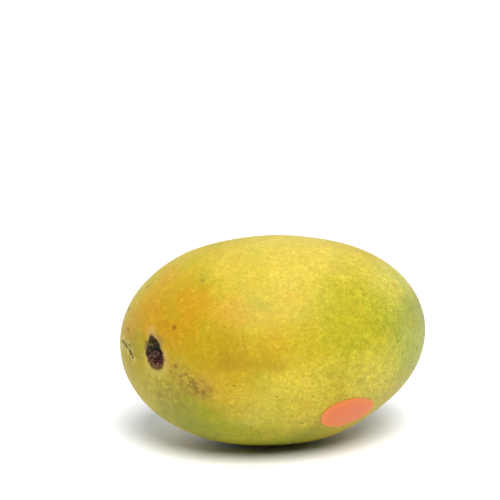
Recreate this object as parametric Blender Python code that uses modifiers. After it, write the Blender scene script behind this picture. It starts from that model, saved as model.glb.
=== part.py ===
"""A ripe mango, picked, lying on its cheek, with the dry stub of its stalk and a blank paper label.

Metres, +Z up. The long axis is X, with the stalk end at -X. The origin is at the bottom centre of the
fruit's box, on the surface that it rests on.
"""
import math

import bmesh
import bpy
from mathutils import Matrix, Vector

# The fruit is an egg: its width is across the view, its thickness is upwards
HALF_LENGTH = 0.0615
HALF_WIDTH = 0.0443
HALF_THICKNESS = 0.0413
TAPER = -0.043              # girth lost towards the blossom end
FULLNESS = 0.034            # girth gained at both ends
SHOULDER = -0.040           # girth moved from the blossom end's tip to the stalk end's shoulder
LEAN_ACROSS = -0.092        # how far the stalk end's face leans, as a slope
LEAN_UP = 0.047
BOW_ACROSS = -0.0027        # how far the middle bows out from the line of the two ends
BOW_UP = -0.0013

# Low swellings and flats that keep the skin from being a perfect egg.
# Each has a direction from the fruit's middle, a height and a spread on the unit sphere.
SWELLINGS = (
    ((0.84, -0.40, -0.37), 0.00015, 0.20),
    ((0.60, -0.44, -0.66), -0.00045, 0.13),
    ((0.26, -0.40, -0.88), 0.00055, 0.13),
    ((-0.19, -0.30, -0.93), -0.00040, 0.16),
    ((-0.95, 0.19, -0.26), 0.00020, 0.25),
    ((-0.54, 0.32, 0.77), 0.00045, 0.20),
    ((0.29, 0.15, 0.94), -0.00030, 0.16),
    ((0.68, 0.00, 0.73), 0.00020, 0.20),
    ((-0.20, 0.95, 0.10), 0.00060, 0.35),
    ((-0.70, 0.70, -0.10), -0.00050, 0.25),
)
BEAK = ((0.92, 0.38, -0.06), 0.00110, 0.17)     # the low beak behind the blossom end

# The scar where the stalk broke off: an oval pit in a shallow basin
SCAR_DIRECTION = Vector((-0.931, -0.359, 0.060)).normalized()
SCAR_LEAN = math.radians(16)                     # the oval's top leans towards the stalk end
BASIN_DEPTH = 0.0006
BASIN_SPREAD = 0.0085
PIT_DEPTH = 0.0021
PIT_HALF_HEIGHT = 0.0056
PIT_HALF_WIDTH = 0.0039
PIT_FLOOR = 0.60                                 # the flat floor, as a share of the oval

# The woody stub left in the pit
STUB_RADIUS = 0.0015
STUB_TOP_RADIUS = 0.0012
STUB_HEIGHT = 0.0016
STUB_BEVEL = 0.0003
STUB_BELOW_CENTRE = 0.0010
STUB_BESIDE_CENTRE = 0.0002
STUB_SIDES = 20

# The oval paper label, low on the side that faces forwards
LABEL_DIRECTION = Vector((0.261, -0.799, -0.538)).normalized()
LABEL_LENGTH = 0.0255
LABEL_WIDTH = 0.0162
LABEL_TILT = math.radians(-8)
LABEL_THICKNESS = 0.0003
LABEL_GRID = 12
LABEL_LIFT = 0.006                               # how far above the skin the flat label starts

GAP = 0.0003                                     # clearance between touching pieces
REST_DEPTH = 0.00035                             # how much is flattened where the fruit rests

# The fruit's mesh: rings round the scar, closer together near it
SIDES = 72
RINGS = 40
CROWDING = 0.80
CROWDING_REACH = 0.35
TURN_STEP = 0.001                                # step of direction used to measure a normal

UP = Vector((0, 0, 1))


def swelling(direction, place, height, spread):
    """Height of one swelling in a given direction."""
    distance = (direction - Vector(place).normalized()).length
    return height * math.exp(-distance ** 2 / (2 * spread ** 2))


def skin_point(direction):
    """Point of the skin in a direction from the fruit's middle, before the scar is sunk."""
    along, across, up = direction
    girth = 1 + TAPER * along + FULLNESS * along ** 2 + SHOULDER * along ** 3
    y = HALF_WIDTH * across * girth
    z = HALF_THICKNESS * up * girth
    stalk_end = ((1 - along) / 2) ** 2
    x = HALF_LENGTH * along + (LEAN_ACROSS * y + LEAN_UP * z) * stalk_end
    middle = 1 - along ** 2
    point = Vector((x, y + BOW_ACROSS * middle, z + BOW_UP * middle))
    height = sum(swelling(direction, *each) for each in SWELLINGS + (BEAK,))
    return point + height * direction


def skin_frame(direction):
    """Place and axes on the skin: level along it, upwards along it, and straight out of it."""
    sideways = UP.cross(direction).normalized()
    upwards = direction.cross(sideways)
    here = skin_point(direction)
    beside = skin_point((direction + TURN_STEP * sideways).normalized())
    above = skin_point((direction + TURN_STEP * upwards).normalized())
    out = (beside - here).cross(above - here).normalized()
    level = UP.cross(out).normalized()
    return here, level, out.cross(level), out


def turned(first, second, angle):
    """Two axes of a plane, turned by an angle from the first towards the second."""
    cos, sin = math.cos(angle), math.sin(angle)
    return first * cos + second * sin, second * cos - first * sin


def smooth_step(value):
    value = min(max(value, 0.0), 1.0)
    return value * value * (3 - 2 * value)


def scar_frame():
    """The scar's centre, its short axis, its long axis and its outward axis."""
    centre, level, upwards, out = skin_frame(SCAR_DIRECTION)
    short, long = turned(level, upwards, SCAR_LEAN)
    return centre, short, long, out


def sunk(point, scar):
    """The point after the basin and the pit are pressed in."""
    centre, short, long, out = scar
    offset = point - centre
    basin = BASIN_DEPTH * math.exp(-offset.length ** 2 / (2 * BASIN_SPREAD ** 2))
    oval = math.hypot(offset.dot(short) / PIT_HALF_WIDTH,
                      offset.dot(long) / PIT_HALF_HEIGHT,
                      offset.dot(out) / PIT_HALF_HEIGHT)
    pit = PIT_DEPTH * smooth_step((1 - oval) / (1 - PIT_FLOOR))
    return point - (basin + pit) * out


def material(name, colour, roughness):
    made = bpy.data.materials.new(name)
    made.use_nodes = True
    shader = made.node_tree.nodes["Principled BSDF"]
    shader.inputs["Base Color"].default_value = (*colour, 1)
    shader.inputs["Roughness"].default_value = roughness
    shader.inputs["Metallic"].default_value = 0.0
    return made


def add_object(name, mesh, collection, finish):
    made = bpy.data.objects.new(name, mesh)
    mesh.materials.append(finish)
    mesh.shade_smooth()
    collection.objects.link(made)
    return made


def make_fruit(collection):
    """Skin, flesh and stone grew as one body, so the fruit is one solid."""
    scar = scar_frame()
    turn = UP.rotation_difference(SCAR_DIRECTION).to_matrix()
    shape = bmesh.new()
    bmesh.ops.create_uvsphere(shape, u_segments=SIDES, v_segments=RINGS, radius=1)
    for vertex in shape.verts:
        polar = math.acos(max(-1.0, min(1.0, vertex.co.z)))
        around = math.atan2(vertex.co.y, vertex.co.x)
        polar *= 1 - CROWDING * math.exp(-polar / CROWDING_REACH)
        ring = math.sin(polar)
        on_sphere = Vector((ring * math.cos(around), ring * math.sin(around), math.cos(polar)))
        vertex.co = sunk(skin_point((turn @ on_sphere).normalized()), scar)
    flatten_rest(shape)
    mesh = bpy.data.meshes.new("fruit")
    shape.to_mesh(mesh)
    shape.free()
    fruit = add_object("fruit", mesh, collection, material("skin", (0.62, 0.46, 0.06), 0.45))
    fruit.location = -box_foot(mesh)
    return fruit


def flatten_rest(shape):
    """Cuts the small flat that the fruit settles on."""
    lowest = min(vertex.co.z for vertex in shape.verts)
    everything = shape.verts[:] + shape.edges[:] + shape.faces[:]
    cut = bmesh.ops.bisect_plane(shape, geom=everything, plane_co=(0, 0, lowest + REST_DEPTH),
                                 plane_no=-UP, clear_outer=True)
    rim = [each for each in cut["geom_cut"] if isinstance(each, bmesh.types.BMEdge)]
    bmesh.ops.contextual_create(shape, geom=rim)
    bmesh.ops.recalc_face_normals(shape, faces=shape.faces)


def box_foot(mesh):
    """Bottom centre of a mesh's box."""
    xs, ys, zs = zip(*(vertex.co for vertex in mesh.vertices))
    return Vector(((min(xs) + max(xs)) / 2, (min(ys) + max(ys)) / 2, min(zs)))


def make_stub(collection, fruit):
    """A short woody peg, turned, standing in the scar's pit."""
    centre, short, long, out = scar_frame()
    sunk_by = PIT_DEPTH + BASIN_DEPTH - GAP
    floor = centre - STUB_BESIDE_CENTRE * short - STUB_BELOW_CENTRE * long - sunk_by * out
    profile = (
        (0.0, STUB_HEIGHT),
        (STUB_TOP_RADIUS - STUB_BEVEL, STUB_HEIGHT),
        (STUB_TOP_RADIUS, STUB_HEIGHT - STUB_BEVEL),
        (STUB_RADIUS, STUB_BEVEL),
        (STUB_RADIUS - STUB_BEVEL, 0.0),
        (0.0, 0.0),
    )
    mesh = bpy.data.meshes.new("stalk_stub")
    steps = [(index, index + 1) for index in range(len(profile) - 1)]
    mesh.from_pydata([(radius, 0, height) for radius, height in profile], steps, [])
    stub = add_object("stalk_stub", mesh, collection, material("stalk", (0.055, 0.025, 0.022), 0.8))
    stub.matrix_world = placed(floor + fruit.location, short, long, out)
    screw = stub.modifiers.new("turn", "SCREW")
    screw.steps = STUB_SIDES
    screw.render_steps = STUB_SIDES
    screw.use_merge_vertices = True
    screw.merge_threshold = 0.00001
    return stub


def placed(place, first, second, third):
    """A matrix with its origin at a place and its axes along three directions."""
    turn = Matrix((first, second, third)).transposed()
    return Matrix.Translation(place) @ turn.to_4x4()


def make_label(collection, fruit):
    """An oval of paper laid on the skin. It is blank."""
    centre, level, upwards, out = skin_frame(LABEL_DIRECTION)
    first, second = turned(level, upwards, LABEL_TILT)
    shape = bmesh.new()
    bmesh.ops.create_grid(shape, x_segments=LABEL_GRID, y_segments=LABEL_GRID, size=1)
    for vertex in shape.verts:
        x, y, _ = vertex.co
        vertex.co.x = x * math.sqrt(1 - y * y / 2) * LABEL_LENGTH / 2
        vertex.co.y = y * math.sqrt(1 - x * x / 2) * LABEL_WIDTH / 2
    mesh = bpy.data.meshes.new("label")
    shape.to_mesh(mesh)
    shape.free()
    label = add_object("label", mesh, collection, material("label_paper", (0.83, 0.21, 0.09), 0.5))
    label.matrix_world = placed(centre + fruit.location + LABEL_LIFT * out, first, second, out)
    wrap = label.modifiers.new("lie on the skin", "SHRINKWRAP")
    wrap.target = fruit
    wrap.wrap_method = "PROJECT"
    wrap.use_project_z = True
    wrap.use_positive_direction = False
    wrap.use_negative_direction = True
    wrap.offset = GAP
    paper = label.modifiers.new("paper", "SOLIDIFY")
    paper.thickness = LABEL_THICKNESS
    paper.offset = 1.0
    return label


def main():
    for old in list(bpy.data.objects):
        bpy.data.objects.remove(old)
    collection = bpy.data.collections.new("mango")
    bpy.context.scene.collection.children.link(collection)
    fruit = make_fruit(collection)
    make_stub(collection, fruit)
    make_label(collection, fruit)


main()
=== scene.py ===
"""A ripe mango lying on its cheek, with a dry stalk stub in its scar and a blank paper label.

The skin, the stub and the label are modelled finely over the plain solids that they stand for.
Metres, +Z up, in the frame of the solids: stalk end at -X, the label's side at -Y.
"""
import math

import bpy
from mathutils import Matrix, Vector, noise


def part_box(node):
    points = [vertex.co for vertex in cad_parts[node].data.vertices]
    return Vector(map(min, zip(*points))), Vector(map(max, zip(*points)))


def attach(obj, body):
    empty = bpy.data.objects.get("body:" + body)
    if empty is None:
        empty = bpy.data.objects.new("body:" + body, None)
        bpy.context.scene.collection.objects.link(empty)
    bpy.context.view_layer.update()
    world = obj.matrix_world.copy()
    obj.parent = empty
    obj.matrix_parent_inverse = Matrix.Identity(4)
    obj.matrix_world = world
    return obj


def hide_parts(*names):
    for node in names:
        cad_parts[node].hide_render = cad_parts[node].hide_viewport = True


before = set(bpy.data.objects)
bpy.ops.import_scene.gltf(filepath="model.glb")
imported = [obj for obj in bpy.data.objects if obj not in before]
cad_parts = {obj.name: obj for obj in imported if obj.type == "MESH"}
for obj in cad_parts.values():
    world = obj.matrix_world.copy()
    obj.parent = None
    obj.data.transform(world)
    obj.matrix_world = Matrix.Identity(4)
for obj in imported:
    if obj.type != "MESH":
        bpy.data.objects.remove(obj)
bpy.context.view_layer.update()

UP = Vector((0, 0, 1))


def linear(part):
    """One part of a screen colour, from 0 to 255, as an amount of light from 0 to 1."""
    part /= 255
    return part / 12.92 if part < 0.04 else ((part + 0.055) / 1.055) ** 2.4


def tint(red, green, blue):
    """A colour as it looks on a screen, each part from 0 to 255, for a shader's socket."""
    return linear(red), linear(green), linear(blue), 1.0


def axes_at(out, tilt):
    """Two axes on the skin, level and upwards, turned by a tilt, and the axis out of it."""
    out = Vector(out).normalized()
    level = UP.cross(out).normalized()
    upwards = out.cross(level)
    cos, sin = math.cos(tilt), math.sin(tilt)
    return level * cos + upwards * sin, upwards * cos - level * sin, out


# The fruit
FRUIT_LOW, FRUIT_HIGH = (Vector(corner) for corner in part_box("fruit"))
MIDDLE = (FRUIT_LOW + FRUIT_HIGH) / 2
FORM_LEVELS = 2
SKIN_SIDES = 300
SKIN_RINGS = 190
SKIN_CLEARANCE = 1.06                               # the sphere starts this much larger than the fruit
CALM_PASSES = 6
SCAR_REACH = math.radians(27)                       # how far from the scar the rings are split
SCAR_CUTS = 3
TIP_REACH = math.radians(9)                         # the same at the blossom end
TIP_CUTS = 2

# The stalk scar: an oval pit, narrower at its top, with a ragged callus round it
SCAR = Vector((-0.0555, -0.0155, 0.0448))
SCAR_SHORT, SCAR_LONG, SCAR_OUT = axes_at((-0.869, -0.481, 0.112), math.radians(16))
PIT_HALF_WIDTH = 0.0039
PIT_HALF_HEIGHT = 0.0056
PIT_MID_WIDTH = 0.93                                # the pit's width at its middle, as a share
PIT_NARROWING = 0.16                                # how much of it is lost from there to the top
PIT_NECK = 0.26                                     # how much more is lost above the middle
NECK_SLOPE = (0.35, -0.10)                          # where up the pit that is full, and where it starts
PIT_LEAN = 0.30                                     # how far its upper half leans, in half widths
LEAN_SLOPE = (0.20, -0.40)                          # where up the pit that is full, and where it starts
SCAR_FLANK = (-0.84, 0.44, 0.0)                     # a dusty patch, in half widths and half heights
RELIEF_REACH = 0.014                                # the raised and cracked skin ends this far away
LIP_HEIGHT = 0.00034
FLAKE_HEIGHT = 0.00016
CRACK_DEPTH = 0.00099
LEDGE_HEIGHT = 0.00045
GRAIN_HEIGHT = 0.00007

# The stalk's stub
STUB = Vector((-0.0541, -0.0148, 0.0436))
STUB_RADIUS = 0.00145
STUB_HEIGHT = 0.0019
STUB_SIDES = 36
STUB_CUTS = 6
STUB_STEPS = (                                      # rings of its top: how far inwards, and how far down
    (0.00022, 0.0),
    (0.00030, 0.00022),
    (0.00030, 0.00026),
    (0.00030, -0.00012),
)
TORN_HEIGHT = 0.00034
FIBRE_HEIGHT = 0.00010

# The blossom end's mark: a dimple with a ring and a point in it, each with its radius or spread
TIP_DIRECTION = Vector((0.931, 0.359, -0.060)).normalized()
TIP_MARK_REACH = 0.010
DIMPLE_DEPTH, DIMPLE_SPREAD = 0.00045, 0.0034
RING_HEIGHT, RING_RADIUS = 0.00012, 0.0019
POINT_HEIGHT, POINT_SPREAD = 0.00050, 0.0007

# The unevenness of the whole skin, and what the scratch and the bruise press in
DENT_DEPTH = 0.00012
RIPPLE_DEPTH = 0.00004
GROOVE_DEPTH, GROOVE_SPREAD = 0.00022, 0.00035
SCRATCHED_END = -0.055                              # the scratch is wholly nearer the stalk end than this
PUCKER_DEPTH, PUCKER_SPREAD = 0.00014, 0.0035

# The paper label
LABEL = Vector((0.0164, -0.0352, 0.0189))
LABEL_ALONG, LABEL_ACROSS, LABEL_OUT = axes_at((0.234, -0.787, -0.571), math.radians(-8))
LABEL_LENGTH = 0.0255
LABEL_WIDTH = 0.0162
LABEL_SIDES = 128
LABEL_RINGS = 16
LABEL_LIFT = 0.004                                  # how far above the skin the flat label starts
LABEL_GLUE = 0.00006
LABEL_PAPER = 0.00012
LABEL_END_LIFT = 0.00022
LABEL_START_LIFT = 0.00010
LABEL_WAVES = 0.00004
PUCKERS = (                                         # at its edge: the angle round it, spread and height
    (-2.15, 0.10, 0.00024),
    (-1.35, 0.08, 0.00018),
    (-0.62, 0.09, 0.00022),
    (1.90, 0.08, 0.00012),
)

# Old marks on the skin, with their radius in millimetres
BROWN_SPECKS = (
    ((-0.0515, 0.0060, 0.0652), 0.80),
    ((-0.0579, 0.0102, 0.0555), 1.00),
    ((-0.0604, 0.0031, 0.0495), 0.80),
    ((-0.0222, -0.0325, 0.0165), 0.60),
    ((-0.0031, -0.0367, 0.0173), 0.55),
    ((0.0016, -0.0435, 0.0499), 0.30),
    ((0.0060, -0.0442, 0.0419), 0.40),
    ((0.0303, -0.0366, 0.0332), 0.35),
    ((-0.0506, -0.0226, 0.0456), 0.40),
    ((-0.0330, -0.0365, 0.0481), 0.30),
    ((0.0300, 0.0310, 0.0560), 0.60),
    ((-0.0210, 0.0400, 0.0360), 0.50),
)
ORANGE_SPECKS = (
    ((-0.0488, -0.0206, 0.0554), 1.15),
    ((-0.0249, -0.0322, 0.0644), 0.55),
    ((-0.0151, -0.0419, 0.0308), 0.50),
    ((-0.0330, -0.0330, 0.0572), 0.45),
    ((-0.0297, -0.0325, 0.0611), 0.50),
    ((-0.0308, -0.0379, 0.0354), 0.50),
)
OLIVE_SPECKS = (
    ((-0.0361, -0.0161, 0.0716), 0.80),
    ((0.0376, -0.0334, 0.0455), 0.75),
    ((0.0468, -0.0260, 0.0355), 0.45),
    ((-0.0316, -0.0159, 0.0079), 0.60),
    ((-0.0167, -0.0283, 0.0106), 0.60),
    ((0.0163, -0.0424, 0.0440), 0.45),
    ((0.0331, -0.0190, 0.0703), 0.40),
    ((-0.0048, -0.0394, 0.0603), 0.35),
    ((-0.0080, -0.0430, 0.0507), 0.40),
)

# Long marks, each a line through some points of the skin
SCRATCH = (
    (-0.0615, 0.0078, 0.0437),
    (-0.0615, 0.0037, 0.0435),
    (-0.0610, -0.0009, 0.0421),
    (-0.0608, -0.0023, 0.0410),
    (-0.0605, -0.0035, 0.0397),
)
SIDE_SCRATCH = (
    (-0.0613, 0.0025, 0.0439),
    (-0.0605, -0.0027, 0.0443),
    (-0.0603, -0.0041, 0.0426),
)
BRUISE = (
    (-0.0493, -0.0246, 0.0393),
    (-0.0456, -0.0279, 0.0352),
    (-0.0412, -0.0311, 0.0330),
)
STREAK = ((-0.0348, -0.0360, 0.0454), (-0.0150, -0.0430, 0.0425))
UNDER_SCAR = (-0.0520, -0.0165, 0.0300)             # the middle of the mottled patch there

# Broad tones of the skin: the middle, how far it is full, where it ends, its colour, its strength
YELLOW = tint(208, 181, 33)
SKIN_SHADE = (0.74, 0.74, 0.71)                     # from the tones in bright light to the skin's own
MARKS_SHADE = (0.84, 0.84, 0.84)                    # the same for the skin together with its marks
TONES = (
    # Deep gold from the stalk end along the shoulder and the side, with a peach and an olive patch
    ((-0.0478, -0.0187, 0.0595), 0.007, 0.024, tint(206, 154, 9), 0.95),
    ((-0.0537, -0.0055, 0.0606), 0.002, 0.014, tint(214, 156, 10), 0.60),
    ((-0.0369, -0.0340, 0.0489), 0.003, 0.018, tint(194, 158, 6), 0.80),
    ((-0.0339, -0.0368, 0.0409), 0.003, 0.014, tint(200, 162, 8), 0.65),
    ((-0.0459, 0.0002, 0.0701), 0.001, 0.010, tint(218, 160, 44), 0.60),
    ((-0.0600, 0.0010, 0.0510), 0.003, 0.013, tint(206, 152, 24), 0.60),
    ((-0.0361, -0.0161, 0.0716), 0.001, 0.008, tint(182, 170, 27), 0.55),
    ((-0.0300, -0.0309, 0.0630), 0.002, 0.012, tint(214, 156, 24), 0.45),
    ((-0.0319, -0.0368, 0.0492), 0.002, 0.011, tint(184, 146, 14), 0.45),
    ((-0.0179, -0.0418, 0.0493), 0.002, 0.012, tint(190, 152, 16), 0.40),
    # A paler, milkier yellow along the top: partly the skin's own tone, partly a painted highlight from the
    # light overhead
    ((0.0040, -0.0160, 0.0770), 0.012, 0.034, tint(227, 202, 80), 0.80),
    ((-0.0230, -0.0145, 0.0765), 0.004, 0.018, tint(222, 194, 72), 0.60),
    # Yellow-green over the middle of the blossom half, grey-green round its end
    ((0.0170, -0.0392, 0.0560), 0.010, 0.028, tint(190, 180, 36), 0.85),
    ((0.0347, -0.0309, 0.0575), 0.003, 0.020, tint(192, 188, 58), 0.65),
    ((0.0340, -0.0345, 0.0460), 0.005, 0.024, tint(188, 182, 34), 0.60),
    ((0.0510, -0.0205, 0.0480), 0.008, 0.030, tint(146, 159, 66), 0.85),
    ((0.0465, -0.0265, 0.0370), 0.006, 0.026, tint(196, 202, 84), 0.70),
    # A pale bloom on the blossom half's shoulder: partly the skin's waxy bloom, partly a painted highlight
    ((0.0370, -0.0215, 0.0675), 0.003, 0.017, tint(218, 208, 88), 0.65),
    ((0.0455, -0.0117, 0.0660), 0.003, 0.016, tint(216, 206, 92), 0.65),
    # Green low down, beige and drab round the scar, and warm yellow from there past the label
    ((-0.0422, -0.0254, 0.0227), 0.004, 0.017, tint(170, 172, 27), 0.85),
    ((-0.0207, -0.0269, 0.0106), 0.009, 0.032, tint(170, 174, 10), 0.75),
    ((-0.0546, -0.0141, 0.0294), 0.005, 0.019, tint(208, 190, 60), 0.80),
    ((-0.0599, -0.0054, 0.0434), 0.002, 0.013, tint(172, 150, 26), 0.65),
    ((-0.0488, -0.0212, 0.0262), 0.004, 0.014, tint(164, 152, 44), 0.60),
    ((-0.0479, -0.0120, 0.0165), 0.004, 0.013, tint(146, 158, 46), 0.62),
    ((-0.0386, -0.0170, 0.0115), 0.004, 0.013, tint(142, 156, 38), 0.55),
    ((-0.0386, -0.0330, 0.0333), 0.002, 0.011, tint(226, 178, 62), 0.55),
    ((-0.0243, -0.0374, 0.0253), 0.003, 0.014, tint(232, 214, 92), 0.62),
    ((-0.0300, -0.0372, 0.0300), 0.003, 0.015, tint(220, 186, 36), 0.60),
    # Paler over the low middle: partly the skin's own tone, partly painted light from the front
    ((-0.0080, -0.0400, 0.0285), 0.008, 0.022, tint(232, 210, 72), 0.68),
    ((0.0260, -0.0375, 0.0310), 0.006, 0.020, tint(233, 217, 84), 0.67),
    ((0.0065, -0.0430, 0.0395), 0.002, 0.010, tint(224, 206, 66), 0.40),
    ((0.0030, -0.0280, 0.0105), 0.004, 0.015, tint(138, 146, 4), 0.60),
    # Darker olive under the fruit where it rests: partly the skin's green, partly painted shade
    ((-0.0030, 0.0000, 0.0000), 0.012, 0.034, tint(128, 144, 4), 0.80),
    # The far side
    ((0.0150, 0.0380, 0.0460), 0.010, 0.036, tint(160, 168, 28), 0.75),
    ((-0.0380, 0.0280, 0.0420), 0.006, 0.026, tint(214, 162, 21), 0.70),
    ((0.0100, 0.0200, 0.0050), 0.008, 0.030, tint(188, 178, 44), 0.70),
)


# Small steps that the pieces share

def only(*chosen):
    """Leaves just these pieces selected, and the first one active."""
    bpy.ops.object.select_all(action="DESELECT")
    for piece in chosen:
        piece.select_set(True)
    if chosen:
        bpy.context.view_layer.objects.active = chosen[0]


def named(piece, name):
    piece.name = name
    piece.data.name = name
    return piece


def edit(piece, kind="FACE"):
    """Goes to edit mode on one piece, with everything deselected."""
    only(piece)
    bpy.ops.object.mode_set(mode="EDIT")
    bpy.ops.mesh.select_mode(type=kind)
    bpy.ops.mesh.select_all(action="DESELECT")


def done_editing():
    bpy.ops.object.mode_set(mode="OBJECT")


def edit_chosen(piece, kind, chosen):
    """Goes to edit mode on one piece, with just the chosen edges or faces selected."""
    edit(piece, kind)
    done_editing()
    parts = piece.data.edges if kind == "EDGE" else piece.data.polygons
    for part in parts:
        part.select = chosen(part)
    bpy.ops.object.mode_set(mode="EDIT")


def settle(piece):
    """Puts the object at the origin, unturned and unscaled, with its place in its mesh."""
    only(piece)
    bpy.ops.object.transform_apply(location=True, rotation=True, scale=True)


def stand_on(piece, place, first, second, third):
    """Moves a piece made at the origin to a place on the skin, along its axes there."""
    turn = Matrix((first, second, third)).transposed().to_4x4()
    piece.matrix_world = Matrix.Translation(place) @ turn
    settle(piece)


def apply_modifiers(piece):
    only(piece)
    for modifier in list(piece.modifiers):
        bpy.ops.object.modifier_apply(modifier=modifier.name)


def rounded(piece, levels):
    smooth = piece.modifiers.new("rounded", "SUBSURF")
    smooth.levels = levels
    smooth.render_levels = levels
    apply_modifiers(piece)


def wrap(piece, target, outwards=True):
    """Projects a piece along its normals onto a target."""
    wrapped = piece.modifiers.new("wrap", "SHRINKWRAP")
    wrapped.target = target
    wrapped.wrap_method = "PROJECT"
    wrapped.use_negative_direction = True
    wrapped.use_positive_direction = outwards
    return wrapped


def hump(value, middle, spread):
    return math.exp(-((value - middle) / spread) ** 2)


def fade(value, full, none):
    """1 at one value and 0 at another, with a soft slope between them."""
    share = min(1.0, max(0.0, (value - none) / (full - none)))
    return share * share * (3 - 2 * share)


def from_segment(place, start, end):
    """Distance of a place from a straight line between two points."""
    start, along = Vector(start), Vector(end) - Vector(start)
    share = min(1.0, max(0.0, (place - start).dot(along) / along.length_squared))
    return (place - start - share * along).length


def from_line(place, points):
    """Distance of a place from a line through some points."""
    return min(from_segment(place, *ends) for ends in zip(points, points[1:]))


# The skin

def merged_form(node):
    """A joined and rounded copy of a solid, for a finer piece to be wrapped on."""
    form = node.copy()
    form.data = node.data.copy()
    form.parent = None
    bpy.context.scene.collection.objects.link(form)
    edit(form)
    bpy.ops.mesh.select_all(action="SELECT")
    bpy.ops.mesh.remove_doubles(threshold=0.000002)
    done_editing()
    rounded(form, FORM_LEVELS)
    return form


def split_rings(skin, pole, reach, cuts):
    """Splits the rings near one pole of a unit sphere, so that the skin is finer there."""
    same_ring = 0.2 * math.pi / SKIN_RINGS

    def crosses_rings(edge):
        first, second = (pole.angle(skin.data.vertices[index].co, 0.0) for index in edge.vertices)
        return abs(first - second) > same_ring and min(first, second) < reach

    edit_chosen(skin, "EDGE", crosses_rings)
    bpy.ops.mesh.subdivide(number_cuts=cuts)
    done_editing()


def mango_skin(form):
    """The fine skin: a sphere with its pole at the scar, drawn out to the fruit and wrapped on it."""
    half = (FRUIT_HIGH - FRUIT_LOW) / 2 * SKIN_CLEARANCE
    aim = Vector((scar / size for scar, size in zip(SCAR - MIDDLE, half))).normalized()
    only()
    bpy.ops.mesh.primitive_uv_sphere_add(segments=SKIN_SIDES, ring_count=SKIN_RINGS, radius=1)
    skin = named(bpy.context.object, "mango_skin")
    skin.rotation_euler = UP.rotation_difference(aim).to_euler()
    settle(skin)
    split_rings(skin, aim, SCAR_REACH, SCAR_CUTS)
    split_rings(skin, -aim, TIP_REACH, TIP_CUTS)
    skin.scale = half
    skin.location = MIDDLE
    settle(skin)
    wrap(skin, form)
    calm = skin.modifiers.new("calm", "SMOOTH")
    calm.factor = 0.5
    calm.iterations = CALM_PASSES
    apply_modifiers(skin)
    scar_relief(skin)
    blossom_mark(skin)
    dents_of_age(skin)
    skin.data.shade_smooth()
    return skin


def scar_polar(place):
    """A place by the scar: its distance in pit radii, its angle, and its height along the pit."""
    offset = place - SCAR
    long = offset.dot(SCAR_LONG) / PIT_HALF_HEIGHT
    narrowed = PIT_NARROWING * min(1.0, max(-1.0, long))
    width = PIT_MID_WIDTH - narrowed - PIT_NECK * fade(long, *NECK_SLOPE)
    short = (offset.dot(SCAR_SHORT) / PIT_HALF_WIDTH + PIT_LEAN * fade(long, *LEAN_SLOPE)) / width
    return math.hypot(short, long), math.atan2(long, short), long


def scar_relief(skin):
    """Raises the callus and its flakes round the pit, cracks its wall and leaves a ledge at its foot."""
    for vertex in skin.data.vertices:
        away = (vertex.co - SCAR).length
        if away > RELIEF_REACH:
            continue
        radius, angle, long = scar_polar(vertex.co)
        ring = Vector((math.cos(angle), math.sin(angle), 0.0))
        ragged = noise.noise(ring * 2.6 + Vector((0, 0, radius * 0.9)))
        fibre = noise.noise(ring * 7.5 + Vector((4, 2, radius * 1.3)))
        grain = noise.noise(vertex.co * 1500)
        lip = LIP_HEIGHT * hump(radius, 1.10 + 0.10 * ragged, 0.13) * (1 + 0.8 * fibre)
        flake = FLAKE_HEIGHT * hump(radius, 1.42, 0.25) * max(0.0, fibre + 0.4 * ragged)
        crack = CRACK_DEPTH * hump(radius, 0.88 + 0.06 * ragged, 0.17) * abs(fibre)
        ledge = LEDGE_HEIGHT * hump(radius, 0.66 + 0.08 * ragged, 0.08) * fade(long, -0.4, 0.5)
        rough = GRAIN_HEIGHT * hump(radius, 0.8, 0.6) * grain
        vertex.co += SCAR_OUT * (lip + flake - crack + ledge + rough)


def blossom_mark(skin):
    """A shallow dimple at the blossom end, with the stub of the flower's style in it."""
    def facing_it(vertex):
        return (vertex.co - MIDDLE).normalized().dot(TIP_DIRECTION)

    tip = max(skin.data.vertices, key=facing_it).co.copy()
    for vertex in skin.data.vertices:
        away = (vertex.co - tip).length
        if away > TIP_MARK_REACH:
            continue
        grain = noise.noise(vertex.co * 1300)
        dimple = DIMPLE_DEPTH * hump(away, 0.0, DIMPLE_SPREAD)
        ring = RING_HEIGHT * hump(away, RING_RADIUS, POINT_SPREAD)
        point = POINT_HEIGHT * hump(away, 0.0, POINT_SPREAD)
        vertex.co += TIP_DIRECTION * ((ring + point) * (1 + 0.5 * grain) - dimple)


def dents_of_age(skin):
    """Slight dents all over, the scratch's groove and the bruise's puckers, all pressed inwards."""
    for vertex in skin.data.vertices:
        out = (vertex.co - MIDDLE).normalized()
        clear = fade(vertex.co.z, 0.008, 0.002)
        broad = 1 + noise.noise(vertex.co * 55 + Vector((3, 7, 1)))
        middling = 1 + noise.noise(vertex.co * 170 + Vector((8, 1, 5)))
        sunk = DENT_DEPTH * broad + RIPPLE_DEPTH * middling
        if vertex.co.x < SCRATCHED_END:
            sunk += GROOVE_DEPTH * hump(from_line(vertex.co, SCRATCH), 0.0, GROOVE_SPREAD)
        pucker = 0.5 + noise.noise(vertex.co * 420)
        sunk += PUCKER_DEPTH * hump(from_line(vertex.co, BRUISE), 0.0, PUCKER_SPREAD) * pucker
        vertex.co -= out * clear * sunk


# The stub and the label

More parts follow.
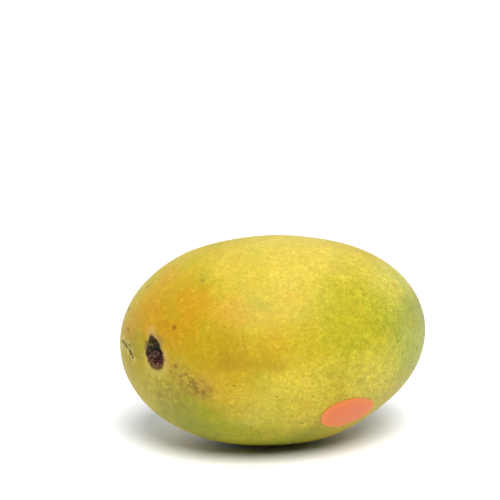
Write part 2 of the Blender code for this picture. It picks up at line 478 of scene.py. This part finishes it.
def stalk_stub():
    """The snapped end of the stalk: a ragged woody peg with a hollow in its middle."""
    only()
    bpy.ops.mesh.primitive_cylinder_add(vertices=STUB_SIDES, radius=STUB_RADIUS, depth=STUB_HEIGHT,
                                        end_fill_type="NGON", location=(0, 0, STUB_HEIGHT / 2))
    stub = named(bpy.context.object, "stalk_stub_wood")
    settle(stub)

    def is_upright(edge):
        low, high = sorted(stub.data.vertices[index].co.z for index in edge.vertices)
        return high - low > STUB_HEIGHT / 2

    def is_top(face):
        return face.normal.z > 0.9

    edit_chosen(stub, "EDGE", is_upright)
    bpy.ops.mesh.subdivide(number_cuts=STUB_CUTS)
    done_editing()
    edit_chosen(stub, "FACE", is_top)
    for inward, sink in STUB_STEPS:
        bpy.ops.mesh.inset(thickness=inward)
        bpy.ops.transform.translate(value=(0, 0, -sink))
    bpy.ops.mesh.poke()
    done_editing()
    rounded(stub, 1)
    for vertex in stub.data.vertices:
        angle = math.atan2(vertex.co.y, vertex.co.x)
        ring = Vector((math.cos(angle), math.sin(angle), 0.0))
        up = vertex.co.z / STUB_HEIGHT
        fibre = noise.noise(ring * 6.0 + Vector((1, 5, up * 0.6)))
        lump = noise.noise(ring * 1.6 + Vector((9, 3, up * 1.4)))
        torn = noise.noise(ring * 4.0 + Vector((2, 8, 0)))
        spread = 1 + 0.10 * fibre + 0.12 * lump - 0.12 * up
        vertex.co.x *= spread
        vertex.co.y *= spread
        vertex.co.z += fade(up, 1.0, 0.45) * (TORN_HEIGHT * torn + FIBRE_HEIGHT * fibre)
    stub.data.shade_smooth()
    stand_on(stub, STUB - SCAR_OUT * STUB_HEIGHT / 2, SCAR_SHORT, SCAR_LONG, SCAR_OUT)
    return stub


def paper_label(skin):
    """An oval of thin paper pressed on the skin, puckered at its edge where it can't lie flat."""
    only()
    bpy.ops.mesh.primitive_circle_add(vertices=LABEL_SIDES, radius=1, fill_type="NGON")
    label = named(bpy.context.object, "paper_label")
    edit(label)
    bpy.ops.mesh.select_all(action="SELECT")
    for _ in range(LABEL_RINGS):
        bpy.ops.mesh.inset(thickness=1 / (LABEL_RINGS + 1))
    bpy.ops.mesh.poke()
    done_editing()
    label.scale = (LABEL_LENGTH / 2, LABEL_WIDTH / 2, 1)
    settle(label)
    stand_on(label, LABEL + LABEL_LIFT * LABEL_OUT, LABEL_ALONG, LABEL_ACROSS, LABEL_OUT)
    laid = wrap(label, skin, outwards=False)
    laid.wrap_mode = "ABOVE_SURFACE"
    laid.offset = LABEL_GLUE
    apply_modifiers(label)
    pucker_label(label)
    paper = label.modifiers.new("paper", "SOLIDIFY")
    paper.thickness = LABEL_PAPER
    paper.offset = 1.0
    apply_modifiers(label)
    only(label)
    bpy.ops.object.shade_smooth_by_angle(angle=math.radians(50))
    return label


def pucker_label(label):
    """Lifts both ends of the label, one more than the other, and folds small puckers into its edge."""
    for vertex in label.data.vertices:
        offset = vertex.co - LABEL
        along = offset.dot(LABEL_ALONG) / (LABEL_LENGTH / 2)
        across = offset.dot(LABEL_ACROSS) / (LABEL_WIDTH / 2)
        radius = math.hypot(along, across)
        angle = math.atan2(across, along)
        edge = fade(radius, 1.0, 0.52)
        lift = LABEL_END_LIFT * fade(along, 1.0, 0.74) + LABEL_START_LIFT * fade(-along, 1.0, 0.86)
        for where, spread, height in PUCKERS:
            lift += height * edge * hump(angle, where, spread)
        waves = LABEL_WAVES * (1 + noise.noise(vertex.co * 330)) * fade(radius, 0.9, 0.2)
        vertex.co += LABEL_OUT * (lift + waves)


# Finishes

# How deep the finest grain is
SKIN_BUMP = 0.00010
WOOD_BUMP = 0.00012
PAPER_BUMP = 0.00003


class Paint:
    """One material's nodes, with short words for the sums that a finish needs."""

    def __init__(self, name):
        self.material = bpy.data.materials.new(name)
        self.material.use_nodes = True
        self.nodes = self.material.node_tree.nodes
        self.links = self.material.node_tree.links
        self.shader = self.nodes["Principled BSDF"]
        self.where = self.nodes.new("ShaderNodeTexCoord").outputs["Object"]

    def feed(self, socket, value):
        """Links a socket to another, or sets its own value."""
        if isinstance(value, bpy.types.NodeSocket):
            self.links.new(value, socket)
        else:
            socket.default_value = value

    def set(self, **values):
        """Sets the shader's own sockets. An underscore stands for a space."""
        for name, value in values.items():
            self.feed(self.shader.inputs[name.replace("_", " ")], value)

    def math(self, operation, *values):
        node = self.nodes.new("ShaderNodeMath")
        node.operation = operation
        for socket, value in zip(node.inputs, values):
            self.feed(socket, value)
        return node.outputs[0]

    def folded(self, operation, values):
        """One operation over many values, taken two at a time from the left."""
        result = values[0]
        for value in values[1:]:
            result = self.math(operation, result, value)
        return result

    def times(self, *values):
        return self.folded("MULTIPLY", values)

    def plus(self, *values):
        return self.folded("ADD", values)

    def swing(self, value, amount=1.0):
        """Noise from 0 to 1 turned into a swing to both sides of 0."""
        return self.times(self.math("SUBTRACT", value, 0.5), amount)

    def vector(self, operation, *values):
        node = self.nodes.new("ShaderNodeVectorMath")
        node.operation = operation
        for socket, value in zip(node.inputs, values):
            self.feed(socket, value)
        single = operation in ("DOT_PRODUCT", "LENGTH", "DISTANCE")
        return node.outputs["Value" if single else "Vector"]

    def scaled(self, vector, amount):
        node = self.nodes.new("ShaderNodeVectorMath")
        node.operation = "SCALE"
        self.feed(node.inputs["Vector"], vector)
        self.feed(node.inputs["Scale"], amount)
        return node.outputs["Vector"]

    def joined(self, *parts):
        node = self.nodes.new("ShaderNodeCombineXYZ")
        for socket, part in zip(node.inputs, parts):
            self.feed(socket, part)
        return node.outputs["Vector"]

    def moved(self, where, *shift):
        return self.vector("ADD", where, shift)

    def noise(self, size, detail=2.0, where=None, part="Fac"):
        """Soft noise, with lumps about this large in the units of the coordinates."""
        node = self.nodes.new("ShaderNodeTexNoise")
        self.feed(node.inputs["Vector"], where or self.where)
        node.inputs["Scale"].default_value = 1 / size
        node.inputs["Detail"].default_value = detail
        return node.outputs[part]

    def fade(self, value, full, none):
        """1 at one value and 0 at another, with a soft slope between them."""
        node = self.nodes.new("ShaderNodeMapRange")
        node.interpolation_type = "SMOOTHSTEP"
        for name, number in (("From Min", full), ("From Max", none), ("To Min", 1.0), ("To Max", 0.0)):
            node.inputs[name].default_value = number
        self.feed(node.inputs["Value"], value)
        return node.outputs["Result"]

    def band(self, value, middle, half):
        """1 in the middle of a band and 0 past its edges."""
        away = self.math("ABSOLUTE", self.math("SUBTRACT", value, middle))
        return self.fade(away, half * 0.35, half)

    def mix(self, share, under, over):
        node = self.nodes.new("ShaderNodeMix")
        node.data_type = "RGBA"
        self.feed(node.inputs[0], share)
        self.feed(node.inputs[6], under)
        self.feed(node.inputs[7], over)
        return node.outputs[2]

    def laid(self, under, tone, *shares):
        """A tone laid over another, as strongly as the product of its shares."""
        return self.mix(self.times(*shares), under, tone)

    def pushed(self, size, amount, detail=3.0, where=None):
        """Coordinates pushed about by noise, so that the edges of patches wander."""
        push = self.vector("SUBTRACT", self.noise(size, detail, where, "Color"), (0.5, 0.5, 0.5))
        return self.vector("ADD", where or self.where, self.scaled(push, amount))

    def dots(self, spacing, radius, where, shift, absent, full):
        """Scattered dots, each with its own chance: left out at one chance and full at another."""
        node = self.nodes.new("ShaderNodeTexVoronoi")
        self.feed(node.inputs["Vector"], self.moved(where, *shift))
        node.inputs["Scale"].default_value = 1 / spacing
        dot = self.fade(node.outputs["Distance"], radius * 0.45 / spacing, radius * 1.15 / spacing)
        parts = self.nodes.new("ShaderNodeSeparateColor")
        self.feed(parts.inputs["Color"], node.outputs["Color"])
        return self.times(dot, self.fade(parts.outputs["Red"], full, absent))

    def from_segment(self, where, start, end):
        """Distance of the surface from a straight line between two points."""
        start, along = Vector(start), Vector(end) - Vector(start)
        offset = self.vector("SUBTRACT", where, start)
        share = self.math("DIVIDE", self.vector("DOT_PRODUCT", offset, along), along.length_squared)
        share = self.math("MINIMUM", self.math("MAXIMUM", share, 0.0), 1.0)
        nearest = self.vector("SUBTRACT", offset, self.scaled(tuple(along), share))
        return self.vector("LENGTH", nearest)

    def from_line(self, where, points):
        """Distance of the surface from a line through some points."""
        distances = [self.from_segment(where, *ends) for ends in zip(points, points[1:])]
        return self.folded("MINIMUM", distances)

    def bump(self, height, depth):
        node = self.nodes.new("ShaderNodeBump")
        node.inputs["Distance"].default_value = depth
        self.feed(node.inputs["Height"], height)
        return node.outputs["Normal"]


def broad_tones(paint):
    """The large patches of yellow, gold and green, with edges that wander and break up; some are partly
    painted highlight, painted light or painted shade.
    """
    wander = paint.pushed(0.013, 0.011)
    wander = paint.pushed(0.0035, 0.0040, 3.0, wander)
    skin = YELLOW
    for place, full, none, tone, strength in TONES:
        reach = paint.fade(paint.vector("DISTANCE", wander, place), full, none)
        skin = paint.laid(skin, tone, reach, strength)
    return skin


def mottled(paint, skin):
    """Clouds of greener and warmer skin, and a fine unevenness that is strongest low and ahead."""
    clouds = paint.noise(0.0090, 4.0)
    skin = paint.laid(skin, tint(176, 174, 34), paint.fade(clouds, 0.70, 0.50), 0.26)
    skin = paint.laid(skin, tint(226, 178, 44), paint.fade(clouds, 0.28, 0.46), 0.26)
    patches = paint.noise(0.0024, 4.0, paint.moved(paint.where, 0.3, 0.1, 0.2))
    skin = paint.laid(skin, tint(166, 156, 20), paint.fade(patches, 0.72, 0.52), 0.22)
    skin = paint.laid(skin, tint(236, 210, 80), paint.fade(patches, 0.28, 0.48), 0.22)
    ahead = paint.fade(paint.vector("DOT_PRODUCT", paint.where, (1.0, -0.2, -0.5)), 0.010, -0.055)
    strength = paint.plus(0.42, paint.times(ahead, 0.78))
    fine = paint.plus(paint.swing(paint.noise(0.0013, 3.0)), paint.swing(paint.noise(0.0005)))
    uneven = paint.plus(fine, paint.swing(paint.noise(0.0042, 3.0), 0.50))
    return paint.scaled(skin, paint.plus(1.0, paint.times(uneven, strength, 0.68)))


def lenticels(paint, skin):
    """Breathing pores: many small pale dots, and fewer dark ones. Gives the skin and their height."""
    nudged = paint.pushed(0.0008, 0.0004, 1.0)
    pale = paint.dots(0.0021, 0.00046, nudged, (0.0, 0.0, 0.0), 0.05, 0.80)
    small = paint.dots(0.0012, 0.00030, nudged, (0.7, 0.2, 0.4), 0.10, 0.90)
    dark = paint.dots(0.0023, 0.00036, nudged, (0.1, 0.9, 0.5), 0.25, 0.95)
    old = paint.dots(0.0085, 0.00042, nudged, (0.5, 0.3, 0.8), 0.72, 0.98)
    curls = paint.band(paint.noise(0.0022, 2.0, paint.moved(nudged, 0.2, 0.8, 0.3)), 0.5, 0.040)
    curls = paint.times(curls, paint.fade(paint.noise(0.0050), 0.60, 0.46))
    brightness = paint.plus(1.0, paint.times(pale, 0.27), paint.times(small, 0.24),
                            paint.times(curls, 0.18), paint.times(dark, -0.40))
    skin = paint.scaled(skin, brightness)
    skin = paint.laid(skin, tint(112, 84, 34), old, 0.75)
    height = paint.plus(pale, paint.times(small, 0.6), paint.times(old, 0.8))
    return skin, height


def specks(paint, skin, marks, tone, strength):
    """Old marks at their places, with ragged edges."""
    ragged = paint.pushed(0.0007, 0.0007)
    spots = []
    for place, radius in marks:
        reach = paint.vector("DISTANCE", ragged, place)
        spots.append(paint.fade(reach, radius * 0.0004, radius * 0.0013))
    return paint.laid(skin, tone, paint.folded("MAXIMUM", spots), strength)


def scratched(paint, skin):
    """The dark torn scratch beside the scar and a thin one that branches off it, among pale flakes."""
    ragged = paint.pushed(0.0011, 0.0007)
    nearest = paint.from_line(ragged, SCRATCH)
    lifted = paint.fade(paint.noise(0.0021, 4.0, ragged), 0.62, 0.46)
    skin = paint.laid(skin, tint(220, 204, 116), paint.fade(nearest, 0.0005, 0.0040), lifted, 0.70)
    uneven = paint.swing(paint.noise(0.0009), 0.0016)
    torn = paint.fade(paint.plus(nearest, uneven), 0.00036, 0.00085)
    skin = paint.laid(skin, tint(34, 26, 10), torn, 0.95)
    thin = paint.fade(paint.plus(paint.from_line(ragged, SIDE_SCRATCH), uneven), 0.00010, 0.00055)
    return paint.laid(skin, tint(52, 40, 14), thin, 0.75)


def bruised(paint, skin):
    """Brown mottles past the scar, drab and beige ones under it, and a faint streak along the side."""
    wander = paint.pushed(0.0040, 0.0050)
    patch = paint.fade(paint.from_line(paint.pushed(0.0022, 0.0030), BRUISE), 0.0010, 0.0066)
    blotch = paint.noise(0.0019, 5.0, paint.moved(paint.where, 0.2, 0.6, 0.1))
    skin = paint.laid(skin, tint(196, 156, 66), patch, 0.45)
    skin = paint.laid(skin, tint(136, 106, 38), patch, paint.fade(blotch, 0.62, 0.40), 0.78)
    under = paint.fade(paint.vector("DISTANCE", wander, UNDER_SCAR), 0.006, 0.013)
    mottle = paint.noise(0.0021, 4.0, paint.moved(wander, 0.4, 0.1, 0.7))
    skin = paint.laid(skin, tint(150, 132, 52), under, paint.fade(mottle, 0.64, 0.48), 0.50)
    skin = paint.laid(skin, tint(214, 198, 90), under, paint.fade(mottle, 0.36, 0.50), 0.42)
    streak = paint.fade(paint.from_line(wander, STREAK), 0.0006, 0.0052)
    return paint.laid(skin, tint(184, 150, 22), streak, 0.62)


def scar_sums(paint):
    """The scar's own measures at each place, in pit radii where they are lengths.

    Gives the place on the flat pit, its distance and direction from the middle, its height along the
    pit, its distance from the left flank, and whether it is near the scar at all.
    """
    offset = paint.vector("SUBTRACT", paint.where, SCAR)
    long = paint.math("DIVIDE", paint.vector("DOT_PRODUCT", offset, SCAR_LONG), PIT_HALF_HEIGHT)
    short = paint.math("DIVIDE", paint.vector("DOT_PRODUCT", offset, SCAR_SHORT), PIT_HALF_WIDTH)
    held = paint.math("MINIMUM", paint.math("MAXIMUM", long, -1.0), 1.0)
    neck = paint.times(paint.fade(long, *NECK_SLOPE), PIT_NECK)
    width = paint.math("SUBTRACT", PIT_MID_WIDTH, paint.plus(paint.times(held, PIT_NARROWING), neck))
    leaning = paint.plus(short, paint.times(paint.fade(long, *LEAN_SLOPE), PIT_LEAN))
    flat = paint.joined(paint.math("DIVIDE", leaning, width), long, 0.0)
    radius = paint.vector("LENGTH", flat)
    around = paint.vector("NORMALIZE", flat)
    flank = paint.vector("DISTANCE", paint.joined(short, long, 0.0), SCAR_FLANK)
    near = paint.fade(paint.vector("LENGTH", offset), 0.0125, 0.0150)
    return flat, radius, around, long, flank, near


def scarred(paint, skin):
    """The scar, from the outside inwards. Gives the skin, where it is dry, and the callus's fibres."""
    flat, radius, around, long, flank, near = scar_sums(paint)
    fibre = paint.noise(0.22, 3.0, paint.vector("ADD", around, paint.scaled(flat, 0.12)))
    cloud = paint.noise(0.50, 3.0, paint.moved(flat, 3.0, 5.0, 1.0))
    wavy = paint.plus(radius, paint.swing(cloud, 0.40))
    ragged = paint.plus(wavy, paint.swing(fibre, 0.32))
    low = paint.fade(long, -0.35, 0.15)
    right = paint.fade(paint.vector("DOT_PRODUCT", around, (0.8, 0.6, 0.0)), 0.9, -0.6)

    # The pale halo, the brown stain and the dusty patch on the skin round it
    halo = paint.mix(right, tint(194, 176, 88), tint(192, 152, 90))
    strength = paint.plus(0.60, paint.times(right, 0.27))
    skin = paint.laid(skin, halo, paint.fade(ragged, 1.20, 2.10), near, strength)
    patchy = paint.fade(cloud, 0.62, 0.42)
    skin = paint.laid(skin, tint(120, 88, 44), paint.fade(ragged, 1.10, 1.55), near, patchy, 0.75)
    dusty = paint.fade(paint.plus(flank, paint.swing(fibre, 0.5)), 0.34, 0.70)
    skin = paint.laid(skin, tint(106, 88, 32), dusty, near, 0.86)

    # The callus's brown fringe, and the pit: black and crumbly above, partly its dark dried scar and partly
    # painted shade in the hollow, and maroon with fibres below
    fringe = paint.mix(paint.times(low, right), tint(50, 32, 20), tint(92, 72, 28))
    skin = paint.laid(skin, fringe, paint.fade(ragged, 1.08, 1.34), near, 0.93)
    # The near black above is partly the scar's own dark tissue and partly painted shade in the pit
    inside = paint.mix(low, tint(10, 10, 4), tint(62, 14, 20))
    speckle = paint.fade(paint.noise(0.16, 3.0, flat), 0.62, 0.48)
    inside = paint.laid(inside, tint(78, 68, 38), speckle, 0.62)
    crumbs = paint.fade(paint.noise(0.26, 3.0, paint.moved(flat, 6.0, 2.0, 3.0)), 0.60, 0.48)
    high, outer = paint.fade(long, 0.15, -0.20), paint.fade(wavy, 0.85, 0.35)
    inside = paint.laid(inside, tint(104, 94, 54), crumbs, high, outer, 0.75)
    inside = paint.laid(inside, tint(124, 86, 72), paint.fade(fibre, 0.62, 0.52), low, 0.70)
    skin = paint.laid(skin, inside, paint.fade(ragged, 0.98, 1.06), near)

    # The pale torn lip round the pit's foot, and a browner one outside it
    foot = paint.fade(long, -0.72, -0.30)
    torn = paint.fade(paint.noise(0.30, 3.0, paint.moved(flat, 1.0, 2.0, 7.0)), 0.62, 0.42)
    skin = paint.laid(skin, tint(172, 132, 106), paint.band(wavy, 0.84, 0.10), foot, near, torn, 0.90)
    skin = paint.laid(skin, tint(130, 98, 54), paint.band(wavy, 1.02, 0.06), foot, near, 0.60)
    return skin, paint.times(paint.fade(ragged, 1.10, 1.40), near), fibre


def blossom_coloured(paint, skin):
    """The brown point at the blossom end, with a rusty ring."""
    offset = paint.vector("SUBTRACT", paint.pushed(0.0012, 0.0012), MIDDLE)
    along = paint.vector("DOT_PRODUCT", offset, TIP_DIRECTION)
    side = paint.vector("SUBTRACT", offset, paint.scaled(tuple(TIP_DIRECTION), along))
    away = paint.vector("LENGTH", side)
    ahead = paint.fade(along, 0.01, 0.0)
    skin = paint.laid(skin, tint(170, 140, 60), paint.fade(away, 0.0022, 0.0060), ahead, 0.55)
    return paint.laid(skin, tint(66, 44, 24), paint.fade(away, 0.0007, 0.0015), ahead, 0.90)


def skin_finish():
    """Waxy skin with its tones, pores and marks, and a dry dull scar."""
    paint = Paint("mango_skin")
    skin = mottled(paint, broad_tones(paint))
    skin = bruised(paint, skin)
    skin, pores = lenticels(paint, skin)
    skin = paint.vector("MULTIPLY", skin, SKIN_SHADE)
    skin = specks(paint, skin, OLIVE_SPECKS, tint(112, 112, 36), 0.75)
    skin = specks(paint, skin, ORANGE_SPECKS, tint(142, 84, 14), 0.90)
    skin = specks(paint, skin, BROWN_SPECKS, tint(78, 58, 26), 0.88)
    skin = scratched(paint, skin)
    skin = blossom_coloured(paint, skin)
    skin, dry, fibre = scarred(paint, skin)
    skin = paint.vector("MULTIPLY", skin, MARKS_SHADE)
    waxy = paint.plus(0.43, paint.times(paint.noise(0.0060, 3.0), 0.12))
    rough = paint.plus(waxy, paint.times(dry, 0.34))
    grain = paint.times(paint.noise(0.00045, 3.0), 0.35)
    peel = paint.noise(0.0016)
    height = paint.plus(grain, peel, paint.times(pores, 0.45), paint.times(dry, fibre, 3.0))
    paint.set(Base_Color=skin, Roughness=rough, IOR=1.45, Normal=paint.bump(height, SKIN_BUMP))
    paint.set(Subsurface_Weight=0.10, Subsurface_Scale=0.003, Subsurface_Radius=(1.0, 0.55, 0.15))
    paint.set(Sheen_Weight=0.04, Sheen_Roughness=0.30, Sheen_Tint=tint(255, 250, 232))
    paint.set(Specular_IOR_Level=0.20)
    return paint.material


def stub_finish():
    """Dark dry wood with greyish brown fibres along it."""
    paint = Paint("stalk_wood")
    offset = paint.vector("SUBTRACT", paint.where, STUB)
    along = paint.vector("DOT_PRODUCT", offset, SCAR_OUT)
    fibres = paint.vector("SUBTRACT", offset, paint.scaled(tuple(SCAR_OUT), paint.times(along, 0.85)))
    fibre = paint.noise(0.00032, 4.0, fibres)
    wood = paint.mix(paint.fade(fibre, 0.62, 0.44), tint(36, 20, 16), tint(106, 74, 66))
    wood = paint.laid(wood, tint(62, 26, 28), paint.fade(paint.noise(0.0009), 0.62, 0.48), 0.55)
    paint.set(Base_Color=wood, Roughness=0.82, Normal=paint.bump(fibre, WOOD_BUMP))
    paint.set(Specular_IOR_Level=0.3)
    return paint.material


def label_finish():
    """Coated paper in salmon orange, redder in the middle, with its fibres just showing."""
    paint = Paint("label_paper")
    offset = paint.vector("SUBTRACT", paint.where, LABEL)
    along = paint.math("DIVIDE", paint.vector("DOT_PRODUCT", offset, LABEL_ALONG), LABEL_LENGTH / 2)
    across = paint.math("DIVIDE", paint.vector("DOT_PRODUCT", offset, LABEL_ACROSS), LABEL_WIDTH / 2)
    radius = paint.vector("LENGTH", paint.joined(along, across, 0.0))
    edge = paint.plus(radius, paint.swing(paint.noise(0.0050, 3.0), 0.6))
    paper = paint.mix(paint.fade(edge, 1.00, 0.55), tint(206, 96, 32), tint(212, 110, 18))
    fibre = paint.noise(0.00035, 4.0)
    paper = paint.laid(paper, tint(232, 160, 92), paint.fade(fibre, 0.62, 0.46), 0.16)
    paper = paint.laid(paper, tint(194, 86, 54), paint.fade(fibre, 0.36, 0.50), 0.14)
    paper = paint.laid(paper, tint(202, 120, 72), paint.fade(edge, 1.03, 0.955), 0.45)
    paint.set(Base_Color=paper, Roughness=0.46, IOR=1.45, Normal=paint.bump(fibre, PAPER_BUMP))
    paint.set(Sheen_Weight=0.05)
    return paint.material


def dress(piece, finish, node):
    """Gives a piece its finish, hangs it under the root body, and hides the solid that it stands for."""
    piece.data.materials.clear()
    piece.data.materials.append(finish)
    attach(piece, "root")
    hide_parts(node)


# The studio

# The camera faces the label's side, from a little towards the stalk end and a little above
CAMERA_PLACE = (-0.27825, -0.78368, 0.27193)
CAMERA_AIM = (-0.00670, 0.01422, 0.07429)
LENS_MM = 157.7
SENSOR_MM = 36
FLOOR_SIZE = 8.0
FLOOR_WHITE = (0.85, 0.85, 0.85, 1.0)
SUN_FROM = (-0.06, -0.66, 1.0)
SUN_SPREAD = math.radians(42)
SUN_STRENGTH = 5.1
ROOM_WHITE = (0.90, 0.97, 1.0, 1.0)
ROOM_FRONT, ROOM_BACK = 0.03, 1.0                   # the room's brightness in front and behind
ROOM_SLOPE = (-0.3, 0.5)                            # between which directions it turns from one to the other


def floor():
    only()
    bpy.ops.mesh.primitive_plane_add(size=FLOOR_SIZE, location=(0, 0, 0))
    ground = named(bpy.context.object, "floor")
    paint = Paint("floor_white")
    paint.set(Base_Color=FLOOR_WHITE, Roughness=0.55)
    ground.data.materials.append(paint.material)


def daylight():
    """An even, soft light from far away, so the floor is as bright at the back as at the front."""
    lamp = bpy.data.lights.new("overhead", "SUN")
    lamp.angle = SUN_SPREAD
    lamp.energy = SUN_STRENGTH
    holder = bpy.data.objects.new("overhead", lamp)
    holder.rotation_euler = Vector(SUN_FROM).to_track_quat("Z", "Y").to_euler()
    bpy.context.scene.collection.objects.link(holder)


def studio_walls():
    """The room's own light: bright behind the fruit and dim in front of it."""
    world = bpy.data.worlds.new("studio")
    world.use_nodes = True
    nodes, links = world.node_tree.nodes, world.node_tree.links
    parts = nodes.new("ShaderNodeSeparateXYZ")
    links.new(nodes.new("ShaderNodeTexCoord").outputs["Generated"], parts.inputs["Vector"])
    ramp = nodes.new("ShaderNodeMapRange")
    ramp.interpolation_type = "SMOOTHSTEP"
    ramp.inputs["From Min"].default_value, ramp.inputs["From Max"].default_value = ROOM_SLOPE
    ramp.inputs["To Min"].default_value = ROOM_FRONT
    ramp.inputs["To Max"].default_value = ROOM_BACK
    links.new(parts.outputs["Y"], ramp.inputs["Value"])
    nodes["Background"].inputs["Color"].default_value = ROOM_WHITE
    links.new(ramp.outputs["Result"], nodes["Background"].inputs["Strength"])
    bpy.context.scene.world = world


def camera():
    lens = bpy.data.cameras.new("camera")
    lens.lens = LENS_MM
    lens.sensor_width = SENSOR_MM
    holder = bpy.data.objects.new("camera", lens)
    holder.location = CAMERA_PLACE
    sight = Vector(CAMERA_AIM) - Vector(CAMERA_PLACE)
    holder.rotation_euler = sight.to_track_quat("-Z", "Y").to_euler()
    bpy.context.scene.collection.objects.link(holder)
    bpy.context.scene.camera = holder


form = merged_form(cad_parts["fruit"])
skin = mango_skin(form)
bpy.data.objects.remove(form)
dress(skin, skin_finish(), "fruit")
dress(stalk_stub(), stub_finish(), "stalk_stub")
dress(paper_label(skin), label_finish(), "label")
floor()
studio_walls()
daylight()
camera()
bpy.context.scene.view_settings.view_transform = "Standard"
